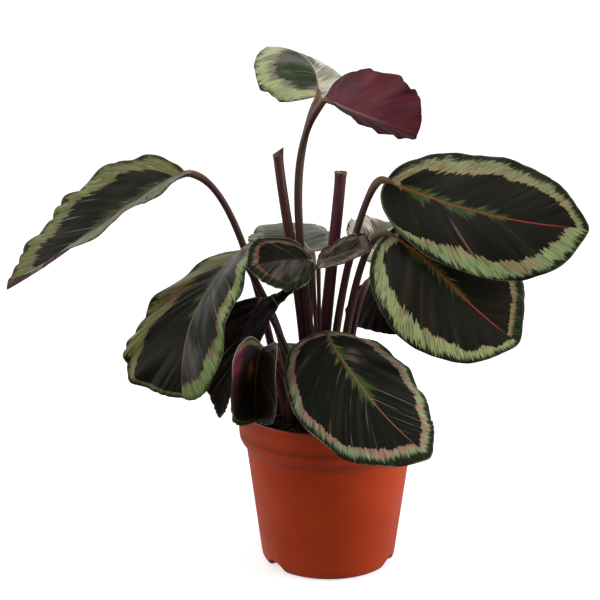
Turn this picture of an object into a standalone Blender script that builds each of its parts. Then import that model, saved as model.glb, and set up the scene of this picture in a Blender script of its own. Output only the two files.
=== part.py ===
# A potted calathea: a round plastic nursery pot, the soil in it, fifteen leaves on their stalks
# and two stalks that have lost their leaves.
# Metres, +Z up. The origin is the centre of the pot's flat underside. The plant's front is -Y,
# and +X is to its right. Angles are in degrees.

import math
from dataclasses import dataclass

import bmesh
import bpy
import numpy as np
from mathutils import Vector

MM = 0.001
# The gap between pieces that touch, and how far a cutter runs past what it cuts
FIT_GAP = 0.3 * MM
PAST = 1 * MM

# Pot: outer radii and heights of its turned wall
POT_HEIGHT = 122.8 * MM
RIM_RADIUS = 70.0 * MM
COLLAR_START = (62.4 * MM, 89.0 * MM)
COLLAR_END = (68.1 * MM, 101.5 * MM)
COLLAR_STEPS = 5
FOOT_RADIUS = 45.7 * MM
FOOT_BEVEL = (3.6 * MM, 1.6 * MM)
HEEL_RADIUS = 51.6 * MM
HEEL_HEIGHT = 8.0 * MM
WALL = 1.3 * MM
FLOOR = 2.0 * MM
LIP_HEIGHT = 2.0 * MM
LIP_OUT = 0.6 * MM
LIP_BEVEL = 0.4 * MM
POT_STEPS = 40

# Three arched drainage notches in the pot's heel, and the slot in the roof of each
NOTCH_BEARINGS = (216.0, 336.0, 96.0)
NOTCH_HALF_WIDTH = 11.0 * MM
NOTCH_HEIGHT = 8.0 * MM
NOTCH_DEPTH = 24.0 * MM
SLOT_RADIUS = 2.5 * MM
SLOT_INSET = 6.5 * MM
SLOT_REACH = 4 * MM

# Soil: a loose fill with a lumpy top
SOIL_HEIGHT = 111.0 * MM
SOIL_LUMP = 1.6 * MM
SOIL_EDGE_DROP = 1.5 * MM
SOIL_RINGS = 4

# Leaf blades: their grid's cells along and across a half, coarser on a small leaf
GRID = (16, 4)
SMALL_GRID = (12, 3)
SMALL_LEAF = 90
BLADE_THICKNESS = 0.8 * MM
RIB_THICKNESS = 2.0 * MM
RIB_STEPS = 48

# A blade's outline, as powers of a half sine: below 1 is blunter than an ellipse, above 1 more
# pointed. The drip tip is a share of the length, and spreads over an angle in radians.
BASE_BLUNTNESS = 0.88
TIP_BLUNTNESS = 1.08
DRIP_TIP = 0.03
DRIP_SPREAD = 0.25

# Side veins: how late they leave the midrib, and how they sweep forward, both as powers
VEIN_LAG = 1.5
VEIN_SWEEP = 1.3

# Stalks: how deep they stand in the soil, and the points along them, crowded towards the top.
# At the joint they clear the blade's first rows.
STALK_DEPTH = 12.0 * MM
STALK_STEPS = 9
STALK_CROWDING = 1.5
JOINT_GAP = 0.4 * MM
JOINT_ROWS = 2

# The holes for the stalks in the soil
HOLE_CLEARANCE = 0.5 * MM
HOLE_ABOVE = 8 * MM
HOLE_SIDES = 12


@dataclass
class Leaf:
    """A leaf in mm and degrees. heading, pitch and roll are its midrib's, from the joint with the
    stalk to the tip. fold and curl are those of the left and the right half: the angle at the
    midrib, and the angle gained from there to the margin. wave is the margin's height, count and
    phase. The stalk leaves the soil at root along rise, and reaches the joint along neck; thick is
    its radius at either end. skew moves the widest place of each half towards the tip, as a
    share of the length. blunt is the outline's power at the tip, lower on a rounder one."""

    name: str
    length: float
    width: float
    joint: tuple
    heading: tuple
    pitch: tuple
    roll: tuple
    fold: tuple
    curl: tuple
    wave: tuple
    root: tuple
    rise: tuple
    neck: tuple
    thick: tuple
    skew: tuple = (0, 0)
    blunt: float = TIP_BLUNTNESS


LEAVES = (
    Leaf("far_left", 160, 98, (-107, 15, 300), (216, 198, 180), (-14, -37, -30), (-8, -10),
         (30, 26), (-18, -26), (2.5, 5, 0.4), (-30, 3), (-14, 5, 44), (-44, -2, 0), (3.4, 2.4),
         (0, -0.05)),
    Leaf("left", 132, 100, (-66, 4, 243), (234, 238, 258), (-20, -43, -96), (14, 5),
         (30, 8), (-25, -18), (3.0, 5, 1.2), (-28, -9), (-3, 4, 80), (-20, -6, 50), (3.4, 2.5),
         (-0.06, 0.22), 0.7),
    Leaf("top_left", 93, 82, (-8, 13, 357), (88, 120, 140), (44, 16, -8), (0, 14),
         (-26, -8), (-38, -24), (2.0, 3, 0.0), (-8, 12), (-8, 0, 110), (29, 2, 60), (3.4, 2.5),
         (0, 0), 0.6),
    Leaf("top_right", 80, 68, (-3, 4, 357), (-54, -30, -14), (-12, -14, -22), (-66, -52),
         (31, 40), (-5, 10), (1.5, 5, 1.0), (-7, -7), (-12, 0, 136), (35, -4, 44), (3.4, 2.4),
         (0, 0.1), 0.6),
    Leaf("upper_right", 153, 96, (41, -6, 298), (-26, -18, -3), (-18, -10, -2), (42, 58),
         (4, 8), (-13, -24), (1.5, 4, 0.6), (3, -5), (-8, 0, 60), (14, -2, -18), (3.4, 2.5),
         (0, 0.06)),
    Leaf("lower_right", 126, 112, (42, -21, 262), (-36, -28, -14), (-21, -41, -32), (32, 40),
         (4, 5), (-12, -23), (1.5, 4, 2.0), (8, -13), (-2, 2, 60), (18, -8, -11), (3.4, 2.5)),
    Leaf("front", 140, 102, (-3, -31, 190), (-80, -52, -23), (-8, -34, -32), (2, 20),
         (1, -2), (-32, -32), (2.0, 5, 0.2), (1, -25), (-2, 2, 40), (1, -10, 0), (3.2, 2.5)),
    Leaf("front_left_small", 61, 54, (-48, -56, 186), (250, 258, 264), (-10, -85, -105), (0, 8),
         (30, 54), (20, 25), (1.5, 3, 0.0), (-17, -22), (-8, -5, 30), (-5, -10, 2), (2.6, 2.0),
         (0.05, 0.12), 0.6),
    Leaf("left_inner", 96, 72, (-50, -10, 210), (230, 222, 215), (-40, -68, -74), (0, 0),
         (22, -4), (0, 0), (2.0, 4, 0.0), (-18, -12), (-2, 0, 40), (-10, -4, 24), (3.0, 2.2),
         (-0.45, 0)),
    Leaf("centre_small", 57, 49, (-12, -33, 244), (206, 222, 198), (14, 4, -10), (-38, -40),
         (2, 2), (-30, -16), (1.0, 3, 0.5), (-9, -18), (2, -2, 40), (0, -2, 18), (1.9, 1.4)),
    Leaf("centre_curled", 41, 28, (-9, -28, 243), (-8, 2, 10), (8, 24, -4), (62, 66),
         (24, 30), (44, 40), (1.0, 2, 0.0), (-9, -12), (2, -2, 40), (-1, -2, 18), (1.9, 1.4),
         (0.2, -0.35)),
    Leaf("back", 118, 72, (-13, 25, 236), (106, 102, 96), (8, 0, -15), (-23, -16),
         (12, -16), (-17, -24), (2.0, 4, 0.0), (-17, 18), (0, 1, 50), (0, 4, 18), (3.2, 2.5)),
    Leaf("back_right", 100, 62, (19, 27, 241), (46, 62, 58), (6, 1, -25), (29, 0),
         (9, -26), (-26, -19), (2.0, 4, 0.0), (1, 17), (1, 2, 50), (6, 5, 14), (3.2, 2.5),
         (0.1, 0)),
    Leaf("right_inner", 70, 58, (29, 7, 220), (70, 56, 26), (-30, -58, -56), (-50, -40),
         (3, 18), (-10, 8), (1.5, 3, 0.0), (12, 4), (2, 0, 50), (9, 9, 8), (3.0, 2.2)),
    Leaf("back_low", 122, 90, (-4, 44, 147), (90, 94, 98), (14, -42, -78), (0, 0),
         (10, 10), (-20, -20), (2.5, 4, 0.0), (-7, 26), (0, 4, 22), (1, 10, 2), (3.2, 2.5)),
)

# Cut stalks: root and top in mm, how they leave the soil and reach the top, and their radii
CUT_STALKS = (
    ("cut_stalk_left", (-17, 1), (4, 0, 61), (-38, 0, 316), (-3, 0, 37), (3.9, 3.6)),
    ("cut_stalk_right", (-4, 4), (-4, -1, 61), (8, -5, 304), (2, 0, 43), (4.8, 4.2)),
)


def material(name, colour, roughness):
    """A plain Principled material."""
    made = bpy.data.materials.new(name)
    made.use_nodes = True
    shader = made.node_tree.nodes["Principled BSDF"]
    shader.inputs["Base Color"].default_value = (*colour, 1.0)
    shader.inputs["Roughness"].default_value = roughness
    shader.inputs["Metallic"].default_value = 0.0
    return made


def add_object(name, data, finish=None):
    """A new object in the scene that shows this mesh or curve."""
    made = bpy.data.objects.new(name, data)
    bpy.context.scene.collection.objects.link(made)
    if finish:
        data.materials.append(finish)
    return made


def mesh_from(bm, name):
    """The finished bmesh as a mesh, smooth but for its sharp corners."""
    bmesh.ops.recalc_face_normals(bm, faces=bm.faces)
    mesh = bpy.data.meshes.new(name)
    bm.to_mesh(mesh)
    bm.free()
    mesh.shade_smooth()
    mesh.set_sharp_from_angle(angle=math.radians(40))
    return mesh


def as_helper(shape):
    """Marks a cutter, which isn't a piece of the object."""
    shape.hide_render = True
    shape.display_type = "WIRE"
    return shape


def cut(shape, cutter):
    """Takes the cutter, an object or a whole collection of them, out of the shape."""
    knife = shape.modifiers.new("cut", "BOOLEAN")
    knife.operation = "DIFFERENCE"
    knife.solver = "EXACT"
    if isinstance(cutter, bpy.types.Collection):
        knife.operand_type = "COLLECTION"
        knife.collection = cutter
    else:
        knife.object = cutter


def turned(name, profile, steps=POT_STEPS):
    """A solid of revolution about Z. The profile's (radius, height) points run from the axis,
    round the outside and back to the axis."""
    bm = bmesh.new()
    verts = [bm.verts.new((radius, 0, height)) for radius, height in profile]
    edges = [bm.edges.new(pair) for pair in zip(verts, verts[1:])]
    bmesh.ops.spin(bm, geom=verts + edges, cent=(0, 0, 0), axis=(0, 0, 1),
                   angle=math.tau, steps=steps, use_merge=True)
    bmesh.ops.remove_doubles(bm, verts=bm.verts, dist=0.01 * MM)
    return mesh_from(bm, name)


def collar(inset):
    """The smooth S in which the wall widens into the collar."""
    (low_radius, low), (high_radius, high) = COLLAR_START, COLLAR_END
    for step in range(COLLAR_STEPS + 1):
        share = step / COLLAR_STEPS
        widened = share * share * (3 - 2 * share)
        yield low_radius + (high_radius - low_radius) * widened - inset, low + (high - low) * share


def pot_profile(inset, floor, top):
    """The pot's outline from the middle of its base to the middle of its top, drawn in by inset."""
    return (
        (0, floor),
        (FOOT_RADIUS - inset, floor),
        (FOOT_RADIUS + FOOT_BEVEL[0] - inset, max(FOOT_BEVEL[1], floor)),
        (HEEL_RADIUS - inset, HEEL_HEIGHT),
        *collar(inset),
        (RIM_RADIUS - LIP_OUT - inset, top - LIP_HEIGHT),
        (RIM_RADIUS - LIP_OUT - inset, top),
        (0, top),
    )


def with_lip(profile):
    """The outer outline with a small bead added round the rim."""
    *body, below_lip, at_lip, middle = profile
    bead = (
        (RIM_RADIUS, below_lip[1] + LIP_BEVEL),
        (RIM_RADIUS, at_lip[1] - LIP_BEVEL),
        (RIM_RADIUS - LIP_BEVEL, at_lip[1]),
    )
    return (*body, below_lip, *bead, middle)


def notch_cutter(bearing, clearance):
    """A flattened rod that lies along a radius at the pot's heel, wider by clearance all round."""
    bm = bmesh.new()
    bmesh.ops.create_cone(bm, cap_ends=True, segments=16, radius1=1, radius2=1,
                          depth=NOTCH_DEPTH * 2)
    for vert in bm.verts:
        x, y, z = vert.co
        end = clearance if z < 0 else 0
        vert.co = (
            HEEL_RADIUS + z - end,
            x * (NOTCH_HALF_WIDTH + clearance),
            y * (NOTCH_HEIGHT + clearance),
        )
    shape = add_object(f"notch_cutter_{bearing:.0f}_{clearance / MM:.1f}",
                       mesh_from(bm, "notch_cutter"))
    shape.rotation_euler.z = math.radians(bearing)
    return as_helper(shape)


def slot_cutter(bearing):
    """A short upright rod that opens the roof of a notch."""
    bm = bmesh.new()
    bmesh.ops.create_cone(bm, cap_ends=True, segments=12, radius1=SLOT_RADIUS,
                          radius2=SLOT_RADIUS, depth=2 * SLOT_REACH)
    shape = add_object(f"slot_cutter_{bearing:.0f}", mesh_from(bm, "slot_cutter"))
    angle = math.radians(bearing)
    away = HEEL_RADIUS - SLOT_INSET
    shape.location = (away * math.cos(angle), away * math.sin(angle), NOTCH_HEIGHT)
    return as_helper(shape)


def collection_of(name, shapes):
    """A hidden collection of cutters, taken out of the scene's own list."""
    group = bpy.data.collections.new(name)
    bpy.context.scene.collection.children.link(group)
    for shape in shapes:
        group.objects.link(shape)
        bpy.context.scene.collection.objects.unlink(shape)
    return group


def make_pot(finish):
    """The pot: a turned shell whose heel is drawn in at three notches, each with a drain slot."""
    pot = add_object("pot", turned("pot", with_lip(pot_profile(0, 0, POT_HEIGHT))), finish)
    hollow = add_object(
        "pot_hollow", turned("pot_hollow", pot_profile(WALL, FLOOR, POT_HEIGHT + PAST)))
    pockets = [notch_cutter(bearing, WALL) for bearing in NOTCH_BEARINGS]
    cut(hollow, collection_of("pocket_walls", pockets))
    cut(pot, as_helper(hollow))
    openings = [notch_cutter(bearing, 0) for bearing in NOTCH_BEARINGS]
    openings += [slot_cutter(bearing) for bearing in NOTCH_BEARINGS]
    cut(pot, collection_of("pot_openings", openings))
    return pot


def lump(x, y):
    """How far the soil's surface stands above its level at a place, by a sum of waves."""
    turns = 80 / (1000 * MM)
    broad = math.sin(1.2 * turns * x + 0.6) * math.cos(turns * y + 1.1)
    fine = math.sin(turns * (2.6 * x + 2.1 * y)) * math.cos(turns * (2.9 * y - 0.8 * x))
    return SOIL_LUMP * (0.6 * broad + 0.4 * fine)


def make_soil(finish, holes):
    """The soil: fills the pot to just under its collar, with a plain hole for each stalk."""
    gap = WALL + FIT_GAP
    low = pot_profile(gap, FLOOR + FIT_GAP, POT_HEIGHT)[:-2]
    radii, heights = zip(*low)
    edge = float(np.interp(SOIL_HEIGHT - SOIL_EDGE_DROP, heights[1:], radii[1:]))
    rings = [(edge * k / SOIL_RINGS, SOIL_HEIGHT) for k in range(SOIL_RINGS, -1, -1)]
    mesh = turned("soil", (*low[:-1], *rings))
    for vert in mesh.vertices:
        if abs(vert.co.z - SOIL_HEIGHT) < 0.01 * MM:
            away = math.hypot(vert.co.x, vert.co.y) / edge
            vert.co.z += lump(vert.co.x, vert.co.y) * (1 - away**4) - SOIL_EDGE_DROP * away**4
    soil = add_object("soil", mesh, finish)
    pockets = [notch_cutter(bearing, gap) for bearing in NOTCH_BEARINGS]
    cut(soil, collection_of("soil_pockets", pockets))
    cut(soil, collection_of("soil_holes", holes))
    return soil


def bend(values, share):
    """The angle at each share of the way, in radians, between evenly spaced values in degrees."""
    return np.radians(np.interp(share, np.linspace(0, 1, len(values)), values))


def rib_frames(leaf, share):
    """The midrib's points, and its directions along, to the left and up, at shares of its length.
    Behind the joint it runs straight on, for a blade whose lobes reach back."""
    steps = np.linspace(0, 1, RIB_STEPS + 1)

    def along_at(where):
        heading, pitch = bend(leaf.heading, where), bend(leaf.pitch, where)
        flat = np.cos(pitch)
        return np.stack([flat * np.cos(heading), flat * np.sin(heading), np.sin(pitch)], -1)

    pieces = along_at((steps[1:] + steps[:-1]) / 2) * leaf.length * MM / RIB_STEPS
    line = np.vstack([np.zeros(3), np.cumsum(pieces, axis=0)]) + np.array(leaf.joint) * MM
    points = np.stack([np.interp(share, steps, line[:, axis]) for axis in range(3)], -1)
    along = along_at(share)
    points += along * np.minimum(share, 0)[..., None] * leaf.length * MM
    heading, roll = bend(leaf.heading, share), bend(leaf.roll, share)
    level = np.stack([-np.sin(heading), np.cos(heading), np.zeros_like(heading)], -1)
    upright = np.cross(along, level)
    left = level * np.cos(roll)[..., None] + upright * np.sin(roll)[..., None]
    up = upright * np.cos(roll)[..., None] - level * np.sin(roll)[..., None]
    return points, along, left, up


def flat_place(leaf, station, reach):
    """Where a point of the blade lies on the flattened leaf, in mm along and across the midrib.
    Station counts the side veins from the joint, 0, to the tip, 1. Reach runs along a vein from
    the midrib, 0, to the left margin, 1, or the right, -1."""
    turn = math.pi * station
    end = np.exp(-(((math.pi - turn) / DRIP_SPREAD) ** 2))
    skew = np.where(reach > 0, leaf.skew[0], leaf.skew[1]) * np.sin(turn) ** 2
    bluntness = BASE_BLUNTNESS + (leaf.blunt - BASE_BLUNTNESS) * station
    margin_along = (1 - np.cos(turn)) / 2 * (1 - DRIP_TIP) + DRIP_TIP * end + skew
    margin_across = leaf.width / 2 * np.clip(np.sin(turn), 0, 1) ** bluntness
    root = station**VEIN_LAG
    side = np.abs(reach)
    along = leaf.length * (root + (margin_along - root) * side**VEIN_SWEEP)
    return along, margin_across * side


def blade_points(leaf, station, reach):
    """The blade's upper surface in space, in metres, for arrays of station and reach."""
    along, across = flat_place(leaf, station, reach)
    points, _, left, up = rib_frames(leaf, along / leaf.length)
    is_left = reach > 0
    fold = np.radians(np.where(is_left, leaf.fold[0], leaf.fold[1]))
    curl = np.radians(np.where(is_left, leaf.curl[0], leaf.curl[1]))
    turn = curl * across / (leaf.width / 2)
    chord = across * np.sinc(turn / math.tau)
    height, count, phase = leaf.wave
    ripple = np.sin(math.tau * count * station + phase + np.where(is_left, 0.0, 2.0))
    rise = chord * np.sin(fold + turn / 2) + height * reach**2 * ripple * np.sin(math.pi * station)
    out = chord * np.cos(fold + turn / 2) * np.sign(reach)
    return points + (left * out[..., None] + up * rise[..., None]) * MM


def cells(leaf):
    """The cells of a blade's grid along the leaf and across a half."""
    return SMALL_GRID if leaf.length < SMALL_LEAF else GRID


def make_blade(leaf, finish):
    """A leaf's blade: a grid laid along its side veins, bent to shape and given its thickness,
    with the midrib standing out below."""
    along, across = cells(leaf)
    bm = bmesh.new()
    bmesh.ops.create_grid(bm, x_segments=along, y_segments=2 * across, size=0.5)
    bm.verts.ensure_lookup_table()
    station = np.array([vert.co.x + 0.5 for vert in bm.verts])
    reach = np.array([2 * vert.co.y for vert in bm.verts])
    weights = bm.verts.layers.deform.verify()
    for vert, place, side in zip(bm.verts, blade_points(leaf, station, reach), reach):
        vert.co = place
        vert[weights][0] = 1.0 if abs(side) < 0.01 else 0.0
    bmesh.ops.remove_doubles(bm, verts=bm.verts, dist=0.01 * MM)
    bmesh.ops.triangulate(bm, faces=bm.faces)
    mesh = bpy.data.meshes.new(f"blade_{leaf.name}")
    bm.to_mesh(mesh)
    bm.free()
    blade = add_object(f"blade_{leaf.name}", mesh, finish)
    blade.vertex_groups.new(name="rib")
    wall = blade.modifiers.new("thickness", "SOLIDIFY")
    wall.thickness = RIB_THICKNESS
    wall.offset = -1
    wall.vertex_group = "rib"
    wall.thickness_vertex_group = BLADE_THICKNESS / RIB_THICKNESS
    return blade


def stalk_line(root, rise, top, neck):
    """Points of a stalk in metres: straight up through the soil, then a curve to its top, where
    the points lie closer together."""
    start = Vector((*root, SOIL_HEIGHT / MM)) * MM
    rise, top, neck = (Vector(value) * MM for value in (rise, top, neck))
    lean = rise.normalized()
    knots = (start, start + rise, top - neck, top)
    line = [start - lean * STALK_DEPTH]
    for step in range(STALK_STEPS + 1):
        k = 1 - (1 - step / STALK_STEPS) ** STALK_CROWDING
        shares = ((1 - k) ** 3, 3 * k * (1 - k) ** 2, 3 * k * k * (1 - k), k**3)
        line.append(sum((knot * share for knot, share in zip(knots, shares)), Vector()))
    return line


def make_stalk(name, line, thick, finish):
    """A round tapering stalk along a line of points."""
    curve = bpy.data.curves.new(name, "CURVE")
    curve.dimensions = "3D"
    curve.bevel_depth = 1.0
    curve.bevel_resolution = 2
    curve.use_fill_caps = True
    spline = curve.splines.new("POLY")
    spline.points.add(len(line) - 1)
    for step, (point, place) in enumerate(zip(spline.points, line)):
        share = max(step - 1, 0) / (len(line) - 2)
        point.co = (*place, 1.0)
        point.radius = (thick[0] + (thick[1] - thick[0]) * share) * MM
    return add_object(name, curve, finish)


def hole_cutter(line, radius):
    """A rod round the part of a stalk that stands in the soil."""
    bottom, level = line[0], line[1]
    lean = (level - bottom).normalized()
    low = bottom - lean * HOLE_CLEARANCE
    high = level + lean * HOLE_ABOVE
    bm = bmesh.new()
    width = radius * MM + HOLE_CLEARANCE
    bmesh.ops.create_cone(bm, cap_ends=True, segments=HOLE_SIDES, radius1=width, radius2=width,
                          depth=(high - low).length)
    shape = add_object("hole_cutter", mesh_from(bm, "hole_cutter"))
    shape.location = (low + high) / 2
    shape.rotation_mode = "QUATERNION"
    shape.rotation_quaternion = lean.to_track_quat("Z", "Y")
    return as_helper(shape)


def between(rows, count):
    """Count steps on the straight way from each row to the next."""
    steps = [a + (b - a) * k / count for a, b in zip(rows, rows[1:]) for k in range(count + 1)]
    return np.vstack(steps)


def joint_end(leaf):
    """Where a stalk stops: its flat end just clears all of the blade's base that it faces."""
    joint, _, _, up = rib_frames(leaf, np.zeros(1))
    along, across = cells(leaf)
    reach = np.linspace(-1, 1, 2 * across + 1)
    depth = np.where(reach == 0, RIB_THICKNESS, BLADE_THICKNESS)[:, None]
    rows = []
    for station in range(JOINT_ROWS + 1):
        upper = blade_points(leaf, np.full_like(reach, station / along), reach)
        rows.append(np.vstack([between(upper, 4), between(upper - up * depth, 4)]))
    middle = joint - up * RIB_THICKNESS / 2
    away = between(rows, 8) - middle
    neck = np.array(leaf.neck) / np.linalg.norm(leaf.neck)
    ahead = away @ neck
    aside = np.linalg.norm(away - ahead[:, None] * neck, axis=1)
    first = ahead[aside < leaf.thick[1] * MM + FIT_GAP].min()
    return Vector(middle[0] + neck * (first - JOINT_GAP)) / MM


def main():
    for old in list(bpy.data.objects):
        bpy.data.objects.remove(old)
    green = material("leaf_green", (0.035, 0.075, 0.03), 0.4)
    brown = material("stalk_brown", (0.11, 0.03, 0.03), 0.5)
    plastic = material("terracotta_plastic", (0.45, 0.1, 0.03), 0.45)
    earth = material("dark_soil", (0.02, 0.014, 0.01), 0.95)

    holes = []
    for leaf in LEAVES:
        make_blade(leaf, green)
        line = stalk_line(leaf.root, leaf.rise, joint_end(leaf), leaf.neck)
        make_stalk(f"stalk_{leaf.name}", line, leaf.thick, brown)
        holes.append(hole_cutter(line, leaf.thick[0]))
    for name, root, rise, top, neck, thick in CUT_STALKS:
        line = stalk_line(root, rise, top, neck)
        make_stalk(name, line, thick, brown)
        holes.append(hole_cutter(line, thick[0]))
    make_pot(plastic)
    make_soil(earth, holes)


if __name__ == "__main__":
    main()
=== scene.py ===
# %% [markdown]
# # A potted calathea
#
# The plant stands in a round nursery pot. Fifteen patterned leaves hang on thin bare stalks, and
# two more stalks have lost their leaves. The imported model already says where each piece is, so
# this script only gives the pieces their fine shape and their finish.
#
# Everything is in metres, with Z up and the plant's front at -Y.

# %% The imported model
import math
import random
from dataclasses import dataclass

import bmesh
import bpy
import numpy as np
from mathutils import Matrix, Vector, noise


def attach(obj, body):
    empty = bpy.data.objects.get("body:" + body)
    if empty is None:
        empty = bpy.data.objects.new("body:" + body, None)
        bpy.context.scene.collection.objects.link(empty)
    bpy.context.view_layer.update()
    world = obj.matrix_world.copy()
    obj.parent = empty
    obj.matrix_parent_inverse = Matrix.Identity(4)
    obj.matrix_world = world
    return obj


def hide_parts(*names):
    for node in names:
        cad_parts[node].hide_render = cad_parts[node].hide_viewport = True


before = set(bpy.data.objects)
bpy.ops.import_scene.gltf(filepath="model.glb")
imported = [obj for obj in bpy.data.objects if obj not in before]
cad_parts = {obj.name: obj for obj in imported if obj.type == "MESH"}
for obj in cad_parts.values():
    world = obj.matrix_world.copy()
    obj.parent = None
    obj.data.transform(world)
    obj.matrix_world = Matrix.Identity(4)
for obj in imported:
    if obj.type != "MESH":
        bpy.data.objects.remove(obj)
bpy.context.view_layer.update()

MM = 0.001
print("nodes:", len(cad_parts))

# %% [markdown]
# ## Camera
#
# The photograph looks down a little on the pot, so the rim and the foot both show as ellipses. How
# flat each ellipse is gives the angle and the distance. A long lens keeps the pot's sides nearly
# parallel. No shift is needed, because the camera simply stands a little to the left of the pot.

# %% Camera
CAMERA_PLACE = (-0.0219, -1.300, 0.566)
CAMERA_DOWN = 15.5
CAMERA_LENS = 108.24

lens = bpy.data.cameras.new("camera")
lens.lens = CAMERA_LENS
camera = bpy.data.objects.new("camera", lens)
camera.location = CAMERA_PLACE
camera.rotation_euler = (math.radians(90 - CAMERA_DOWN), 0, 0)
bpy.context.scene.collection.objects.link(camera)
bpy.context.scene.camera = camera
print("camera looks down", CAMERA_DOWN, "degrees")

# %% [markdown]
# ## Writing materials as sums
#
# A procedural material is arithmetic on numbers that change over the surface: how far a point is
# from the leaf's margin, which side vein it lies on, and some noise. Placing Math nodes by hand
# hides that arithmetic. Here a small class wraps a node's output and lets Python's own operators
# add the nodes, so a pattern reads like the formula it is. Colours go through Mix nodes, because a
# Math node would turn them grey. A colour is built up in coats, each with the share that it
# covers. The same few methods later write the studio's light.

# %% Wires and formulas
class Wire:
    """A node's output, on which Python's arithmetic adds Math nodes."""

    def __init__(self, formula, socket):
        self.formula = formula
        self.socket = socket

    def math(self, operation, *others):
        return self.formula.add("Math", dict(enumerate((self, *others))), operation=operation)

    def __add__(self, other):
        return self.math("ADD", other)

    __radd__ = __add__

    def __sub__(self, other):
        return self.math("SUBTRACT", other)

    def __rsub__(self, other):
        return self.formula.add("Math", {0: other, 1: self}, operation="SUBTRACT")

    def __mul__(self, other):
        return self.math("MULTIPLY", other)

    __rmul__ = __mul__

    def __truediv__(self, other):
        return self.math("DIVIDE", other)

    def __rtruediv__(self, other):
        return self.formula.add("Math", {0: other, 1: self}, operation="DIVIDE")

    def between(self, low, high):
        """0 at low and 1 at high, with a smooth step from one to the other."""
        return self.formula.add("MapRange", {0: self, 1: low, 2: high},
                                interpolation_type="SMOOTHSTEP")

    def ramp(self, low, high, at_low, at_high):
        """at_low at low and at_high at high, with an even slope between them."""
        return self.formula.add("MapRange", dict(enumerate((self, low, high, at_low, at_high))))


class Formula:
    """A node tree that is written with wires."""

    def __init__(self, tree):
        self.nodes = tree.nodes
        self.links = tree.links

    def add(self, kind, sockets=None, out=0, **settings):
        """A node of this kind: its settings, then the values or wires of its sockets."""
        node = self.nodes.new("ShaderNode" + kind)
        for name, value in settings.items():
            setattr(node, name, value)
        for name, value in (sockets or {}).items():
            self.feed(node.inputs[name], value)
        return Wire(self, node.outputs[out])

    def feed(self, socket, value):
        if isinstance(value, Wire):
            self.links.new(value.socket, socket)
        elif hasattr(socket.default_value, "__len__") and len(socket.default_value) == 4:
            socket.default_value = (*value[:3], 1.0)
        else:
            socket.default_value = value


# %% Finishes
def seen(red, green, blue):
    """A colour as a screen shows it, 0 to 255, turned into the light that a shader works with."""
    return tuple((part / 255) ** 2.2 for part in (red, green, blue))


class Finish(Formula):
    """A Principled material that is built up by formulas."""

    def __init__(self, name, **constants):
        self.material = bpy.data.materials.new(name)
        self.material.use_nodes = True
        super().__init__(self.material.node_tree)
        self.shader = self.nodes["Principled BSDF"]
        for socket, value in constants.items():
            self.feed(self.shader.inputs[socket.replace("_", " ")], value)

    def attribute(self, name):
        """A number that the mesh carries at each of its points."""
        return self.add("Attribute", out="Fac", attribute_name=name)

    def place(self):
        """The point's place in metres."""
        return self.add("TexCoord", out="Object")

    def vector(self, x, y, z=0.0):
        return self.add("CombineXYZ", {0: x, 1: y, 2: z})

    def stretched(self, vector, *factors):
        return self.add("VectorMath", {0: vector, 1: factors}, operation="MULTIPLY")

    def noise(self, where, scale=1.0, detail=2.0, roughness=0.5):
        """Smooth noise from 0 to 1."""
        return self.add("TexNoise", {"Vector": where, "Scale": scale, "Detail": detail,
                                     "Roughness": roughness})

    def mix(self, first, second, share):
        """A colour that goes from the first to the second as share goes from 0 to 1. Either is a
        wire, or a colour as a screen shows it."""
        ends = [end if isinstance(end, Wire) else seen(*end) for end in (first, second)]
        return self.add("Mix", {0: share, 6: ends[0], 7: ends[1]}, out=2, data_type="RGBA")

    def coated(self, colour, *coats):
        """The colour under its coats, each of them a colour and the share that it covers."""
        for coat, share in coats:
            colour = self.mix(colour, coat, share)
        return colour

    def bump(self, height, distance, strength=1.0):
        return self.add("Bump", {"Height": height, "Distance": distance, "Strength": strength})

    def finished(self, colour, roughness, normal):
        self.feed(self.shader.inputs["Base Color"], colour)
        self.feed(self.shader.inputs["Roughness"], roughness)
        self.feed(self.shader.inputs["Normal"], normal)
        print("material", self.material.name, "has", len(self.nodes), "nodes")
        return self.material


# %% [markdown]
# ## The leaves' form
#
# A leaf blade is one sheet that is bent along its midrib, folded at it, curled towards its margins
# and waved along them. Sculpting fifteen of them would be slow and would drift from the packed
# model. Instead each leaf is a line of numbers that a formula turns into points: the same formula
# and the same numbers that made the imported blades, so the fine blade lies where the plain one was.
#
# Two numbers name a point of any blade. Its station counts the side veins from the joint to the
# tip, and its reach runs along one vein from the midrib to the margin. The pattern of the leaf
# follows the veins too, so these two numbers are kept on the mesh for the material to read.

# %% Leaves in mm and degrees
TIP_BLUNTNESS = 1.08


@dataclass
class Leaf:
    """heading, pitch and roll are the midrib's from joint to tip, fold and curl those of the left
    and right half, wave the margin's height, count and phase. The stalk goes from root along rise
    to the joint along neck, with a radius of thick at either end. skew moves the widest place of
    each half towards the tip, and blunt is the outline's power at the tip."""

    name: str
    length: float
    width: float
    joint: tuple
    heading: tuple
    pitch: tuple
    roll: tuple
    fold: tuple
    curl: tuple
    wave: tuple
    root: tuple
    rise: tuple
    neck: tuple
    thick: tuple
    skew: tuple = (0, 0)
    blunt: float = TIP_BLUNTNESS


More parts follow.
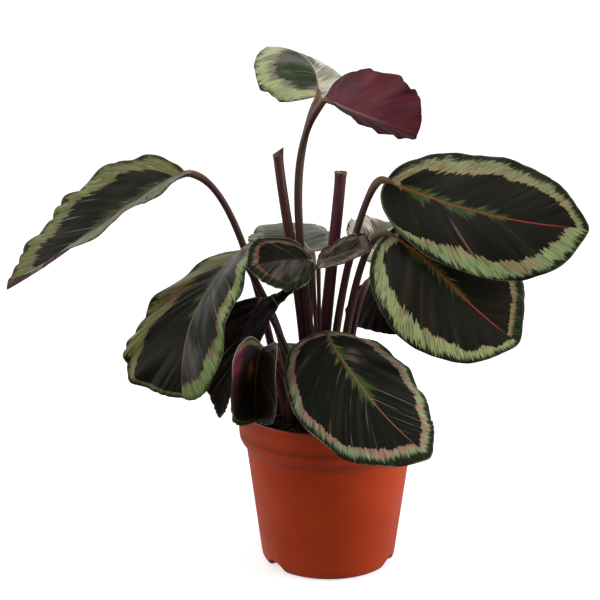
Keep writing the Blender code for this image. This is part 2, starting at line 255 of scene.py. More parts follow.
LEAVES = (
    Leaf("far_left", 160, 98, (-107, 15, 300), (216, 198, 180), (-14, -37, -30), (-8, -10),
         (30, 26), (-18, -26), (2.5, 5, 0.4), (-30, 3), (-14, 5, 44), (-44, -2, 0), (3.4, 2.4),
         (0, -0.05)),
    Leaf("left", 132, 100, (-66, 4, 243), (234, 238, 258), (-20, -43, -96), (14, 5),
         (30, 8), (-25, -18), (3.0, 5, 1.2), (-28, -9), (-3, 4, 80), (-20, -6, 50), (3.4, 2.5),
         (-0.06, 0.22), 0.7),
    Leaf("top_left", 93, 82, (-8, 13, 357), (88, 120, 140), (44, 16, -8), (0, 14),
         (-26, -8), (-38, -24), (2.0, 3, 0.0), (-8, 12), (-8, 0, 110), (29, 2, 60), (3.4, 2.5),
         (0, 0), 0.6),
    Leaf("top_right", 80, 68, (-3, 4, 357), (-54, -30, -14), (-12, -14, -22), (-66, -52),
         (31, 40), (-5, 10), (1.5, 5, 1.0), (-7, -7), (-12, 0, 136), (35, -4, 44), (3.4, 2.4),
         (0, 0.1), 0.6),
    Leaf("upper_right", 153, 96, (41, -6, 298), (-26, -18, -3), (-18, -10, -2), (42, 58),
         (4, 8), (-13, -24), (1.5, 4, 0.6), (3, -5), (-8, 0, 60), (14, -2, -18), (3.4, 2.5),
         (0, 0.06)),
    Leaf("lower_right", 126, 112, (42, -21, 262), (-36, -28, -14), (-21, -41, -32), (32, 40),
         (4, 5), (-12, -23), (1.5, 4, 2.0), (8, -13), (-2, 2, 60), (18, -8, -11), (3.4, 2.5)),
    Leaf("front", 140, 102, (-3, -31, 190), (-80, -52, -23), (-8, -34, -32), (2, 20),
         (1, -2), (-32, -32), (2.0, 5, 0.2), (1, -25), (-2, 2, 40), (1, -10, 0), (3.2, 2.5)),
    Leaf("front_left_small", 61, 54, (-48, -56, 186), (250, 258, 264), (-10, -85, -105), (0, 8),
         (30, 54), (20, 25), (1.5, 3, 0.0), (-17, -22), (-8, -5, 30), (-5, -10, 2), (2.6, 2.0),
         (0.05, 0.12), 0.6),
    Leaf("left_inner", 96, 72, (-50, -10, 210), (230, 222, 215), (-40, -68, -74), (0, 0),
         (22, -4), (0, 0), (2.0, 4, 0.0), (-18, -12), (-2, 0, 40), (-10, -4, 24), (3.0, 2.2),
         (-0.45, 0)),
    Leaf("centre_small", 57, 49, (-12, -33, 244), (206, 222, 198), (14, 4, -10), (-38, -40),
         (2, 2), (-30, -16), (1.0, 3, 0.5), (-9, -18), (2, -2, 40), (0, -2, 18), (1.9, 1.4)),
    Leaf("centre_curled", 41, 28, (-9, -28, 243), (-8, 2, 10), (8, 24, -4), (62, 66),
         (24, 30), (44, 40), (1.0, 2, 0.0), (-9, -12), (2, -2, 40), (-1, -2, 18), (1.9, 1.4),
         (0.2, -0.35)),
    Leaf("back", 118, 72, (-13, 25, 236), (106, 102, 96), (8, 0, -15), (-23, -16),
         (12, -16), (-17, -24), (2.0, 4, 0.0), (-17, 18), (0, 1, 50), (0, 4, 18), (3.2, 2.5)),
    Leaf("back_right", 100, 62, (19, 27, 241), (46, 62, 58), (6, 1, -25), (29, 0),
         (9, -26), (-26, -19), (2.0, 4, 0.0), (1, 17), (1, 2, 50), (6, 5, 14), (3.2, 2.5),
         (0.1, 0)),
    Leaf("right_inner", 70, 58, (29, 7, 220), (70, 56, 26), (-30, -58, -56), (-50, -40),
         (3, 18), (-10, 8), (1.5, 3, 0.0), (12, 4), (2, 0, 50), (9, 9, 8), (3.0, 2.2)),
    Leaf("back_low", 122, 90, (-4, 44, 147), (90, 94, 98), (14, -42, -78), (0, 0),
         (10, 10), (-20, -20), (2.5, 4, 0.0), (-7, 26), (0, 4, 22), (1, 10, 2), (3.2, 2.5)),
)
print("leaves:", len(LEAVES))

# %% The midrib and the outline
RIB_STEPS = 48
BASE_BLUNTNESS = 0.88
DRIP_TIP = 0.03
DRIP_SPREAD = 0.25
VEIN_LAG = 1.5
VEIN_SWEEP = 1.3


def bend(values, share):
    """The angle at each share of the way, in radians, between evenly spaced values in degrees."""
    return np.radians(np.interp(share, np.linspace(0, 1, len(values)), values))


def rib_frames(leaf, share):
    """The midrib's points and its directions along, to the left and up, at shares of its length.
    Behind the joint it runs straight on, for a blade whose lobes reach back."""
    steps = np.linspace(0, 1, RIB_STEPS + 1)

    def along_at(where):
        heading, pitch = bend(leaf.heading, where), bend(leaf.pitch, where)
        flat = np.cos(pitch)
        return np.stack([flat * np.cos(heading), flat * np.sin(heading), np.sin(pitch)], -1)

    pieces = along_at((steps[1:] + steps[:-1]) / 2) * leaf.length * MM / RIB_STEPS
    line = np.vstack([np.zeros(3), np.cumsum(pieces, axis=0)]) + np.array(leaf.joint) * MM
    points = np.stack([np.interp(share, steps, line[:, axis]) for axis in range(3)], -1)
    along = along_at(share)
    points += along * np.minimum(share, 0)[..., None] * leaf.length * MM
    heading, roll = bend(leaf.heading, share), bend(leaf.roll, share)
    level = np.stack([-np.sin(heading), np.cos(heading), np.zeros_like(heading)], -1)
    upright = np.cross(along, level)
    left = level * np.cos(roll)[..., None] + upright * np.sin(roll)[..., None]
    up = upright * np.cos(roll)[..., None] - level * np.sin(roll)[..., None]
    return points, along, left, up


def flat_place(leaf, station, reach):
    """Where a point of the blade lies on the flattened leaf, in mm along and across the midrib."""
    turn = math.pi * station
    end = np.exp(-(((math.pi - turn) / DRIP_SPREAD) ** 2))
    skew = np.where(reach > 0, leaf.skew[0], leaf.skew[1]) * np.sin(turn) ** 2
    bluntness = BASE_BLUNTNESS + (leaf.blunt - BASE_BLUNTNESS) * station
    margin_along = (1 - np.cos(turn)) / 2 * (1 - DRIP_TIP) + DRIP_TIP * end + skew
    margin_across = leaf.width / 2 * np.clip(np.sin(turn), 0, 1) ** bluntness
    root = station**VEIN_LAG
    side = np.abs(reach)
    along = leaf.length * (root + (margin_along - root) * side**VEIN_SWEEP)
    return along, margin_across * side


def margin_distance(leaf, along, across, reach):
    """How far each point of the flattened leaf is from the margin of its own half, in mm."""
    stations = np.linspace(0, 1, 240)
    distance = np.zeros_like(along)
    for side in (1, -1):
        rim_along, rim_across = flat_place(leaf, stations, np.full_like(stations, side))
        half = (reach > 0) == (side > 0)
        gap = np.hypot(along[half][:, None] - rim_along, across[half][:, None] - rim_across)
        distance[half] = gap.min(axis=1)
    return distance


# %% [markdown]
# ## Veins and relief
#
# The side veins leave the midrib at a slant and lean further forward towards the tip. All that is
# drawn or folded on a blade follows them, so each point gets one more number: where on the midrib
# its vein starts.
#
# A real blade is never smooth between its margins. It is pleated along the veins, in shallow arcs
# with a crease between them, which gives the margin its scallops. The midrib stands out a little
# above and a lot below. These are real bends of the sheet, so they go into the mesh, and only the
# finest veins are left to the bump of the material. The irregular spacing comes from sines with
# seeded phases, which give the same leaf each time.

# %% Veins
VEIN_LEAN = 0.6
VEIN_LEAN_GROWTH = 1.6


def vein_start(leaf, along, across):
    """Where the side vein through a point starts, from 0 at the joint to 1 at the tip."""
    return (along - VEIN_LEAN * across) / (leaf.length + VEIN_LEAN_GROWTH * across)


# %% Relief
PLEATS = 9
PLEAT_MIDDLE = 0.64
PLEAT_START = 9.0
FRILL_HEIGHT = 0.35
FRILL_REACH = 9.0
RIB_RISE = 0.35
RIB_HALF_WIDTH = 0.9
NICK_DEPTH = 0.3
NICK_REACH = 3.0
SCALLOP_REACH = 7.0
OTHER_HALF = 7.3
RIPPLE_SHIFT = 2.0


def wobble(place, seed, slowest, fastest, count=5):
    """A seeded sum of sines between two frequencies, mostly within -1 to 1."""
    draw = np.random.default_rng(seed)
    total = np.zeros_like(place)
    for _ in range(count):
        frequency = draw.uniform(slowest, fastest)
        total += np.sin(math.tau * (place * frequency + draw.uniform(0, 1)))
    return total / math.sqrt(count)


def pleat_arcs(seed, reach, vein):
    """The shallow arcs from crease to crease, about 0 on average."""
    lane = vein + np.where(reach > 0, 0.0, OTHER_HALF)
    uneven = lane * PLEATS + 0.5 * wobble(lane, seed, 1.0, 3.0)
    return np.abs(np.sin(math.pi * uneven)) ** 0.8 - PLEAT_MIDDLE


def relief(pleat, seed, station, reach, edge, rib, vein):
    """The height in mm that pleats, frills and midrib add to the blade's upper surface."""
    arcs = pleat_arcs(seed, reach, vein) * np.clip(rib / PLEAT_START, 0, 1)
    frills = wobble(station + np.where(reach > 0, 0.0, OTHER_HALF), seed + 1, 4, 11)
    folds = pleat * arcs * (0.45 + np.abs(reach))
    folds = folds + FRILL_HEIGHT * frills * np.exp(-edge / FRILL_REACH)
    rise = RIB_RISE * np.exp(-((rib / RIB_HALF_WIDTH) ** 2)) * (1 - station)
    return folds * np.sin(math.pi * station) ** 0.4 + rise


def blade_points(leaf, pleat, scallop, seed, station, reach):
    """The blade's upper surface in metres, with the numbers that each point carries."""
    along, across = flat_place(leaf, station, reach)
    edge = margin_distance(leaf, along, across, reach)
    vein = vein_start(leaf, along, across)
    nick = NICK_DEPTH * wobble(station, seed + 7, 5, 16) * np.exp(-edge / NICK_REACH)
    nick = nick + scallop * pleat_arcs(seed, reach, vein) * np.exp(-edge / SCALLOP_REACH)
    nick = nick * np.sin(math.pi * station) ** 0.6
    points, _, left, up = rib_frames(leaf, along / leaf.length)
    is_left = reach > 0
    fold = np.radians(np.where(is_left, leaf.fold[0], leaf.fold[1]))
    curl = np.radians(np.where(is_left, leaf.curl[0], leaf.curl[1]))
    turn = curl * across / (leaf.width / 2)
    chord = across * np.sinc(turn / math.tau) + nick
    height, count, phase = leaf.wave
    ripple = np.sin(math.tau * count * station + phase + np.where(is_left, 0.0, RIPPLE_SHIFT))
    rise = chord * np.sin(fold + turn / 2) + height * reach**2 * ripple * np.sin(math.pi * station)
    rise = rise + relief(pleat, seed, station, reach, edge, across, vein)
    out = chord * np.cos(fold + turn / 2) * np.sign(reach)
    return points + (left * out[..., None] + up * rise[..., None]) * MM, edge, across, vein


# %% [markdown]
# ## Pieces and their place in the frame
#
# Each finished piece takes the place of one imported node: it rides on the plant's one body, and
# the node that it stands for is hidden. One helper does both. The others write numbers to a mesh,
# turn it into an object and apply modifiers.

# %% Helpers for pieces
def face_outward(bm):
    """Turns the faces of a closed bmesh to the outside, after its points have been moved."""
    bm.normal_update()
    bmesh.ops.recalc_face_normals(bm, faces=bm.faces)


def carry(bm, **numbers):
    """Writes these numbers to the points of a bmesh, for a material to read."""
    for name, values in numbers.items():
        layer = bm.verts.layers.float.new(name)
        for vert, value in zip(bm.verts, values):
            vert[layer] = value


def new_piece(bm, name, *materials):
    """The bmesh as a smooth object with these materials."""
    mesh = bpy.data.meshes.new(name)
    bm.to_mesh(mesh)
    bm.free()
    for material in materials:
        mesh.materials.append(material)
    mesh.shade_smooth()
    piece = bpy.data.objects.new(name, mesh)
    bpy.context.scene.collection.objects.link(piece)
    return piece


def hand_over(piece, slot, *nodes):
    """The piece rides on the plant's one body and stands for these nodes."""
    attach(piece, "root")
    if nodes:
        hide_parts(*nodes)


def settle(piece):
    """Makes what the modifiers show the piece's own mesh."""
    bpy.context.view_layer.update()
    graph = bpy.context.evaluated_depsgraph_get()
    mesh = bpy.data.meshes.new_from_object(piece.evaluated_get(graph))
    piece.modifiers.clear()
    piece.data = mesh


# %% [markdown]
# ## The leaf's upper face
#
# The pattern has five zones. From the margin inwards there is a dark green rim, a light band whose
# outer edge is feathered and whose inner edge is a crisp row of teeth, and a blackish centre. Along
# the midrib a green feathering breaks up the centre, and the midrib itself is red. Painting this
# as a picture would tie it to one leaf. The formulas below measure the zones in mm from the margin
# and the midrib and draw every streak along the veins, so each leaf gets its own drawing.

# %% The pattern's numbers
def both(half):
    """The same on the left and on the right half."""
    return half, half


@dataclass
class Look:
    """How a leaf's pattern differs. rim and band are their widths in mm at the joint, the middle
    and the tip, first of the left half, then of the right. onset holds the stations between which
    each half goes from the joint's widths to the middle's, and fade those between which both go
    on to the tip's. pleat is the height of its pleats in mm, and scallop how far they push the
    margin out. light and sheen, a painted grey sheen, are those of the left and the right half. A
    stain has a colour, its stations, its mm from the midrib and its half; one orange one is painted
    light that shines through the leaf. Shares go from 0 to about 1."""

    rim: tuple = both((2, 4, 4))
    band: tuple = both((4, 9, 6))
    onset: tuple = both((0.03, 0.4))
    fade: tuple = (0.55, 0.95)
    light: tuple = both((152, 164, 106))
    tan: tuple = (158, 142, 104)
    tan_share: float = 0.4
    centre: tuple = (25, 24, 14)
    streak: tuple = (46, 42, 27)
    feather: float = 1.0
    green: tuple = (60, 84, 38)
    pink: float = 0.3
    outline: float = 0.3
    lines: float = 0.0
    sheen: tuple = (0.0, 0.0)
    hatch: float = 1.0
    gloss: float = 0.15
    rough: float = 0.42
    stains_and_backlight: tuple = ()
    rim_colour: tuple = (32, 36, 20)
    rib_colour: tuple = (150, 66, 48)
    rib_width: float = 1.3
    pleat: float = 0.7
    scallop: float = 0.3


LOOKS = {
    "far_left": Look(
        # On the left half a wide grey-green band is painted sheen.
        rim=((0.5, 0.5, 1), (4, 2.5, 1.5)), band=((24, 22, 18), (6, 16, 16)), tan_share=0.35,
        light=((116, 116, 92), (118, 120, 72)), tan=(112, 102, 76), rim_colour=(46, 46, 25),
        centre=(26, 28, 15), green=(58, 68, 42), rib_colour=(84, 80, 62), sheen=(0.4, 0.1),
        lines=0.7, outline=0.9, feather=0.8, pleat=1.3, scallop=1.5, gloss=0.12, rough=0.5),
    "left": Look(
        rim=((1.5, 2.5, 1), (2, 2.5, 1.5)), band=((3, 9, 10), (17, 19, 2.5)), fade=(0.5, 0.78),
        light=((132, 152, 92), (132, 132, 78)), tan=(126, 100, 68), tan_share=0.35, pink=0.1,
        centre=(22, 22, 13), rib_colour=(118, 112, 86), sheen=(0.9, 0.05), lines=0.6,
        outline=0.5, feather=0.7, pleat=1.2, scallop=1.6, gloss=0.18, rough=0.48),
    "top_left": Look(
        rim=((0.5, 0.6, 0.8), (0.4, 0.4, 0.8)), band=((4, 14, 27), (26, 32, 30)), hatch=0.4,
        light=((186, 194, 142), (204, 200, 182)), tan=(142, 136, 120), tan_share=0.45,
        centre=(46, 58, 33), streak=(74, 84, 56), rib_colour=(176, 172, 150), rib_width=0.9,
        sheen=(1.0, 0.4), lines=1.0, feather=0.3, scallop=0.6),
    "top_right": Look(pleat=0.35, scallop=1.3),
    "upper_right": Look(
        rim=((3, 5.5, 3.5), (1, 2.5, 3)), band=((5, 11, 5), (0.4, 12, 12)), tan_share=0.45,
        light=((150, 152, 108), (144, 162, 110)), onset=((0.03, 0.4), (0.2, 0.5)), pink=0.9,
        outline=0.6, pleat=0.5),
    "lower_right": Look(
        rim=((3, 6, 7), (3, 3, 2)), band=((3, 6, 4), (6, 13, 4)), onset=((0.03, 0.4), (0.1, 0.5)),
        light=((150, 128, 84), (156, 164, 112)), green=(66, 76, 36), tan_share=0.3, feather=0.9,
        pleat=0.5),
    "front": Look(
        rim=((2, 4.5, 4.5), (1.5, 2.5, 6)), band=((4, 9, 6), (3, 5.5, 9)), tan=(160, 122, 106),
        light=((158, 166, 122), (142, 150, 114)), tan_share=0.5, centre=(19, 22, 13), pink=0.5,
        stains_and_backlight=(((104, 86, 76), (0.34, 0.46), (6.0, 15.0), 1),), rib_colour=(130, 84, 70),
        lines=0.5, outline=0.8, pleat=0.9, scallop=0.7, gloss=0.1, rough=0.55),
    "front_left_small": Look(
        rim=both((1, 2, 2)), band=((1, 1.5, 1.5), (5, 1, 1.5)), tan=(92, 60, 38), pink=0.0,
        light=((76, 74, 44), (110, 112, 60)), centre=(24, 20, 12), streak=(60, 32, 20),
        # The first, orange stain is painted light that shines through the leaf.
        stains_and_backlight=(((150, 80, 30), (0.42, 0.56), (3.0, 7.0), -1),
                ((122, 46, 74), (0.26, 0.46), (16.0, 32.0), -1)),
        rib_colour=(70, 40, 26), outline=1.0, feather=0.15, pleat=0.8, scallop=0.8),
    "left_inner": Look(
        rim=both((0.8, 0.8, 0.8)), band=both((1, 1, 1)), light=both((80, 70, 56)),
        tan=(96, 70, 62), pink=0.0, centre=(24, 17, 14), streak=(46, 28, 28), feather=0.1,
        rib_colour=(60, 44, 40), lines=0.8, outline=1.0, pleat=1.2, scallop=0.4, gloss=0.08,
        rough=0.8),
    "centre_small": Look(
        rim=((3, 6, 5), (2, 4, 4)), band=((0.3, 0.5, 3.5), (0.4, 3, 5)), tan=(112, 60, 56),
        light=((84, 76, 58), (124, 116, 108)), tan_share=0.6, centre=(24, 21, 14), pink=0.4,
        rib_colour=(52, 44, 38), sheen=(0.6, 0.0), lines=0.5, outline=0.7, feather=0.1,
        pleat=0.9, gloss=0.08, rough=0.6),
    "centre_curled": Look(
        # Its pale mauve-grey band and its full sheen are painted sheen.
        rim=both((1, 1.5, 1.5)), band=both((1, 4, 6)), light=((176, 166, 158), (164, 152, 144)),
        tan=(150, 118, 116), tan_share=0.5, centre=(60, 58, 44), rib_colour=(128, 104, 100),
        sheen=(1.0, 1.0), lines=1.0, outline=1.0, feather=0.1, pink=0.0, scallop=0.8),
    "back": Look(
        rim=both((1, 1.5, 2)), band=both((6, 12, 9)), light=both((134, 132, 106)),
        tan=(96, 90, 68), centre=(62, 60, 44), streak=(96, 92, 72), rib_colour=(150, 146, 124),
        lines=0.8, outline=0.6, feather=0.0, pleat=1.1, scallop=0.8),
    "back_right": Look(
        rim=both((0.5, 1, 1)), band=both((8, 18, 16)), light=both((202, 194, 174)),
        tan=(98, 78, 58), tan_share=0.35, centre=(74, 62, 48), streak=(120, 106, 86),
        rib_colour=(180, 172, 150), lines=1.0, hatch=0.5, pleat=1.0),
    "right_inner": Look(
        # This leaf lies in shade deep in the plant, so its band is painted nearly black: painted
        # shade.
        rim=both((1, 1, 1)), band=both((1, 1, 1)), light=both((60, 62, 42)), feather=0.2,
        centre=(20, 19, 13), rib_colour=(56, 42, 38), lines=0.8, outline=0.8),
    "back_low": Look(
        band=both((3, 4, 2)), light=both((70, 74, 48)), tan=(60, 52, 36), feather=0.3),
}
print("looks:", len(LOOKS))

# %% Streaks along the veins
VEINS = 75
FINE = 0.4
OTHER_LANE = 5.3
LEAF_LANE = 2.7


class LeafFace(Finish):
    """A finish of a leaf blade, with the numbers that its pattern is drawn from. Its lane is the
    vein, moved on so that no two halves and no two leaves get the same streaks."""

    def __init__(self, name, seed, gloss):
        super().__init__(name, Specular_IOR_Level=gloss)
        self.station, self.vein = self.attribute("station"), self.attribute("vein")
        self.edge, self.rib = self.attribute("edge"), self.attribute("rib")
        self.left = self.attribute("reach").math("GREATER_THAN", 0.0)
        self.lane = self.vein + self.left * OTHER_LANE + seed * LEAF_LANE

    def streaks(self, across, along, detail=2.0):
        """Noise from 0 to 1, with so many streaks across the leaf and changes per mm."""
        return self.noise(self.vector(self.lane * across, self.rib * along), detail=detail)

    def drawn(self, across, along=0.02, detail=2.0):
        """The same streaks about 0, mostly from -0.25 to 0.25."""
        return self.streaks(across, along, detail) - 0.5

    def lines(self, veins, thin):
        """Thin lines along so many of the veins."""
        middle = (self.lane * veins).math("FRACT") - 0.5
        return middle.math("ABSOLUTE").between(thin, thin * 0.2)

    def ridges(self):
        """The side veins as ridges from -1 to 1."""
        return (self.lane * (VEINS * math.tau)).math("SINE")

    def by_half(self, left, right):
        """One number on the left half and another on the right."""
        return self.left * (left - right) + right

    def width(self, look, halves):
        """A width that goes from the joint's to the middle's and the tip's, on either half."""
        near_tip = self.station.between(*look.fade)
        sides = [self.station.between(*onset) * (middle - joint) + near_tip * (tip - middle) + joint
                 for onset, (joint, middle, tip) in zip(look.onset, halves)]
        return self.by_half(*sides)


# %% The rim and the band
TOOTH = 0.12
PALE_STREAK = (186, 190, 146)
DARK_HATCH = (66, 76, 40)
RIM_GREEN = (54, 76, 38)


def rim_and_band(face, look, rim, band):
    """The dark rim and the light band inside it, which reaches out in wisps."""
    drawn = face.drawn
    depth = (face.edge - rim) / band
    tan = drawn(11) * 2.0 + (depth - 0.5) * 0.6 + (look.tan_share - 0.5)
    hatch = drawn(150, 0.1, 3.0).between(-0.04, 0.14) * (0.85 - depth * 0.35)
    light = face.coated(
        look.light[1],
        (look.light[0], face.left),
        (look.tan, tan.between(-0.1, 0.2)),
        (PALE_STREAK, drawn(60, 0.08).between(0.02, 0.25) * 0.45),
        (DARK_HATCH, hatch * look.hatch),
    )
    wisps = drawn(9, 0.03) * 8.0 + drawn(45, 0.12) * 8.0 + drawn(160, 0.2) * 9.0
    outer = rim + wisps * band * TOOTH
    dark = face.mix(look.rim_colour, RIM_GREEN, drawn(40, 0.1).between(0.04, 0.3))
    return face.mix(dark, light, face.edge.between(outer - 1.0, outer + 2.6))


# %% The centre
LONGEST_PLUME = 13.0
SHORTEST_PLUME = 0.4
PALE_GREEN = (124, 132, 84)
GREEN_BROWN = (92, 76, 52)
OLIVE = (70, 66, 46)
BLUSH = (122, 88, 80)
# The colour of a painted grey sheen over the centre.
PAINTED_SHEEN = (116, 108, 102)


def plumes(face, look):
    """The colour of the green feathering, and how much of it there is."""
    drawn, vein = face.drawn, face.vein
    grown = vein.between(0.0, 0.15) * vein.between(0.68, 0.45) * look.feather
    plume = grown * (drawn(9, 0.0) * 36.0 + drawn(30, 0.0) * 26.0 + drawn(90, 0.0) * 9.0 + 6.0)
    plume = plume.math("MINIMUM", LONGEST_PLUME + drawn(50, 0.0) * 14.0)
    plume = plume.math("MAXIMUM", SHORTEST_PLUME)
    green = face.coated(
        look.green,
        (PALE_GREEN, drawn(60, 0.1).between(0.02, 0.25)),
        (GREEN_BROWN, drawn(5, 0.05).between(0.05, 0.2) * 0.7),
    )
    return green, face.rib.between(plume, plume * 0.4 - 0.5) * 0.85


def centre(face, look):
    """The blackish centre under its pink lines, its plumes and a painted grey sheen."""
    drawn, rib = face.drawn, face.rib
    blush = face.lines(6, 0.06) * drawn(2.6, 0.0).between(0.05, 0.12) * rib.between(8.0, 20.0)
    # A painted grey sheen, strongest near the midrib, on the halves that look.sheen picks.
    painted_sheen = face.by_half(*look.sheen) * drawn(5, 0.05).between(-0.16, 0.14)
    return face.coated(
        look.centre,
        (look.streak, drawn(16, 0.01).between(0.0, 0.3)),
        (OLIVE, drawn(90, 0.06).between(0.06, 0.3) * 0.4),
        (BLUSH, blush * look.pink),
        plumes(face, look),
        (PAINTED_SHEEN, painted_sheen * rib.between(30.0, 12.0) * 0.75),
    )


# %% [markdown]
# Over the zones come the marks of age and painted light: any stain that a single leaf has, one of
# them painted light that shines through the leaf, pale painted highlights along its folds, a pale
# line on its margin, and last of all the midrib.

# %% The upper face
STAIN_SOFTNESS = 0.35
CRISP = 0.2
# The pale colour of painted highlights along the folds.
FOLD_HIGHLIGHT = (172, 164, 148)
PALE_MARGIN = (172, 164, 140)
RIB_AT_JOINT = (150, 122, 108)


def stains_and_backlight(face, look):
    """Each stain of the leaf with its share; one of them is painted light that shines through the
    leaf.
    """
    for colour, stations, distances, side in look.stains_and_backlight:
        spot = face.left if side > 0 else 1.0 - face.left
        for number, (first, last) in ((face.station, stations), (face.rib, distances)):
            soft = (last - first) * STAIN_SOFTNESS
            spot = spot * number.between(first - soft, first + soft)
            spot = spot * number.between(last + soft, last - soft)
        yield colour, spot * face.drawn(22, 0.1).between(-0.2, 0.15)


def midrib(face, look):
    """The midrib's colour and its share. It starts pale, and ends before the tip."""
    colour = face.mix(RIB_AT_JOINT, look.rib_colour, face.station.between(0.05, 0.25))
    width = look.rib_width * (1.0 - face.station * 0.6)
    return colour, face.rib.between(width, width * 0.4) * face.station.between(0.97, 0.86)


def leaf_upper(name, look, seed):
    face = LeafFace(f"leaf_{name}_upper", seed, look.gloss)
    drawn, edge = face.drawn, face.edge
    rim, band = face.width(look, look.rim), face.width(look, look.band)
    teeth = (drawn(7) * 9.0 + drawn(34) * 6.0 + drawn(110) * 7.0) * TOOTH
    inner = rim + band + teeth * band
    # Pale lines along the veins, which are painted highlights on the folds.
    fold_highlights = face.lines(9, 0.05) * drawn(3, 0.03).between(-0.02, 0.14)
    colour = face.coated(
        rim_and_band(face, look, rim, band),
        (centre(face, look), edge.between(inner - CRISP, inner + CRISP)),
        *stains_and_backlight(face, look),
        (FOLD_HIGHLIGHT, fold_highlights * (look.lines * 0.7)),
        (PALE_MARGIN, edge.between(1.1, 0.3) * drawn(6, 0.0).between(-0.12, 0.12) * look.outline),
        midrib(face, look),
    )
    cells = face.noise(face.place(), 900, 2.0)
    normal = face.bump(face.ridges() * 0.35 + drawn(150, 0.12, 3.0) + cells * 0.5, 0.00025, FINE)
    return face.finished(colour, drawn(20, 0.03) * 0.2 + look.rough, normal)


# %% [markdown]
# ## The leaf's underside
#
# Below, the same leaf is wine red. The side veins show as finer, darker lines, the colour deepens
# towards the joint and the margin, and the midrib is a pink cord. One material serves most of the
# leaves, because an underside varies little. One leaf lies in shade deep in the plant, and its
# underside is painted nearly black: painted shade.

# %% The underside
UNDER_STREAK = (140, 66, 78)


def leaf_under(name, pale, deep, cord):
    face = LeafFace(f"leaf_under_{name}", 0, 0.25)
    station, edge, rib = face.station, face.edge, face.rib
    drawn, fine = face.streaks(6, 0.05, 3.0), face.streaks(130, 0.1)
    colour = face.coated(
        pale,
        (deep, drawn.between(0.4, 0.7) * 0.8),
        (UNDER_STREAK, fine.between(0.5, 0.8) * 0.25),
        (deep, station.between(0.5, 0.05) * drawn.between(0.3, 0.55)),
        (deep, edge.between(2.0, 0.3) * 0.8),
        (cord, rib.between(1.0, 0.5) * station.between(0.9, 0.6)),
    )
    normal = face.bump(face.ridges() * 0.3 + fine * 0.8, 0.0002, FINE)
    return face.finished(colour, drawn * 0.1 + 0.42, normal)


# %% [markdown]
# ## Building the blades
#
# A blade starts as a flat grid whose points are then moved by the formula. Its columns crowd
# towards the midrib, where the surface bends most. Solidify gives the sheet its thickness below,
# with a vertex group that keeps the margin thin and swells the midrib, and it puts the second
# material on the underside.

# %% Blades
BLADE_CELLS = (150, 24)
SMALL_CELLS = (100, 18)
SMALL_LEAF = 90
CROWDING = 1.25
SHEET = 0.4 * MM
RIB_CORD = 2.2 * MM
CORD_HALF_WIDTH = 1.1
CORD_TAPER = 0.75


def make_blade(leaf, upper, under, look, seed):
    along_cells, across_cells = SMALL_CELLS if leaf.length < SMALL_LEAF else BLADE_CELLS
    bm = bmesh.new()
    bmesh.ops.create_grid(bm, x_segments=along_cells, y_segments=2 * across_cells, size=0.5)
    station = np.array([vert.co.x + 0.5 for vert in bm.verts])
    flat = np.array([2 * vert.co.y for vert in bm.verts])
    reach = np.sign(flat) * np.abs(flat) ** CROWDING
    points, edge, rib, vein = blade_points(leaf, look.pleat, look.scallop, seed, station, reach)
    carry(bm, station=station, reach=reach, edge=edge, rib=rib, vein=vein)
    cord = np.exp(-((rib / CORD_HALF_WIDTH) ** 2)) * (1 - CORD_TAPER * station)
    weights = bm.verts.layers.deform.verify()
    for vert, point, swell in zip(bm.verts, points, cord):
        vert.co = point
        vert[weights][0] = swell
    bmesh.ops.remove_doubles(bm, verts=bm.verts, dist=0.005 * MM)
    blade = new_piece(bm, f"leaf_{leaf.name}", upper, under)
    thicken(blade)
    hand_over(blade, "leaf", f"blade_{leaf.name}")
    return blade


def thicken(blade):
    """Gives the sheet its thickness and its midrib below, with the second material on them."""
    blade.vertex_groups.new(name="cord")
    wall = blade.modifiers.new("thickness", "SOLIDIFY")
    wall.thickness = RIB_CORD
    wall.offset = -1
    wall.vertex_group = "cord"
    wall.thickness_vertex_group = SHEET / RIB_CORD
    wall.material_offset = 1
    wall.material_offset_rim = 1
    settle(blade)


wine = leaf_under("wine", (116, 46, 58), (62, 28, 36), (166, 110, 108))
# A nearly black underside: painted shade for the leaf that lies in shade deep in the plant.
dark = leaf_under("dark", (30, 24, 20), (18, 15, 12), (60, 46, 42))
for index, leaf in enumerate(LEAVES):
    look = LOOKS[leaf.name]
    upper_face = leaf_upper(leaf.name, look, index)
    # right_inner gets the nearly black underside, which is painted shade.
    under_face = dark if leaf.name == "right_inner" else wine
    blade = make_blade(leaf, upper_face, under_face, look, 100 * (index + 1))
    print(blade.name, len(blade.data.polygons), "faces")

# %% [markdown]
# ## Stalks
#
# A calathea's stalk is a thin round cane. It widens into a sheath where it leaves the soil, swells
# at the joint below the blade, and then runs on as the midrib. A bevelled curve could make the
# tube, but its points wouldn't carry the numbers that the material needs: how far along the stalk
# they are, and on which side of it. So a flat grid is rolled into a tube along the stalk's line.
# The line's corners are rounded first by averaging.

# %% The stalk's line
SOIL_HEIGHT = 111.0
STALK_DEPTH = 12.0
RIB_DEPTH = 2.0
SPACING = 1.6
MERGE_SHARE = 0.16
ROUNDING = 5


def curve_points(root, rise, top, neck, count=60):
    """The stalk's curve in mm, from below the soil to its top."""
    start = Vector((*root, SOIL_HEIGHT))
    rise, top, neck = Vector(rise), Vector(top), Vector(neck)
    knots = (start, start + rise, top - neck, top)
    line = [start - rise.normalized() * STALK_DEPTH]
    for step in range(count + 1):
        k = step / count
        shares = ((1 - k) ** 3, 3 * k * (1 - k) ** 2, 3 * k * k * (1 - k), k**3)
        line.append(sum((knot * share for knot, share in zip(knots, shares)), Vector()))
    return np.array(line)


def lengths_along(line):
    """How far along the line each of its points is."""
    return np.concatenate([[0], np.cumsum(np.linalg.norm(np.diff(line, axis=0), axis=1))])


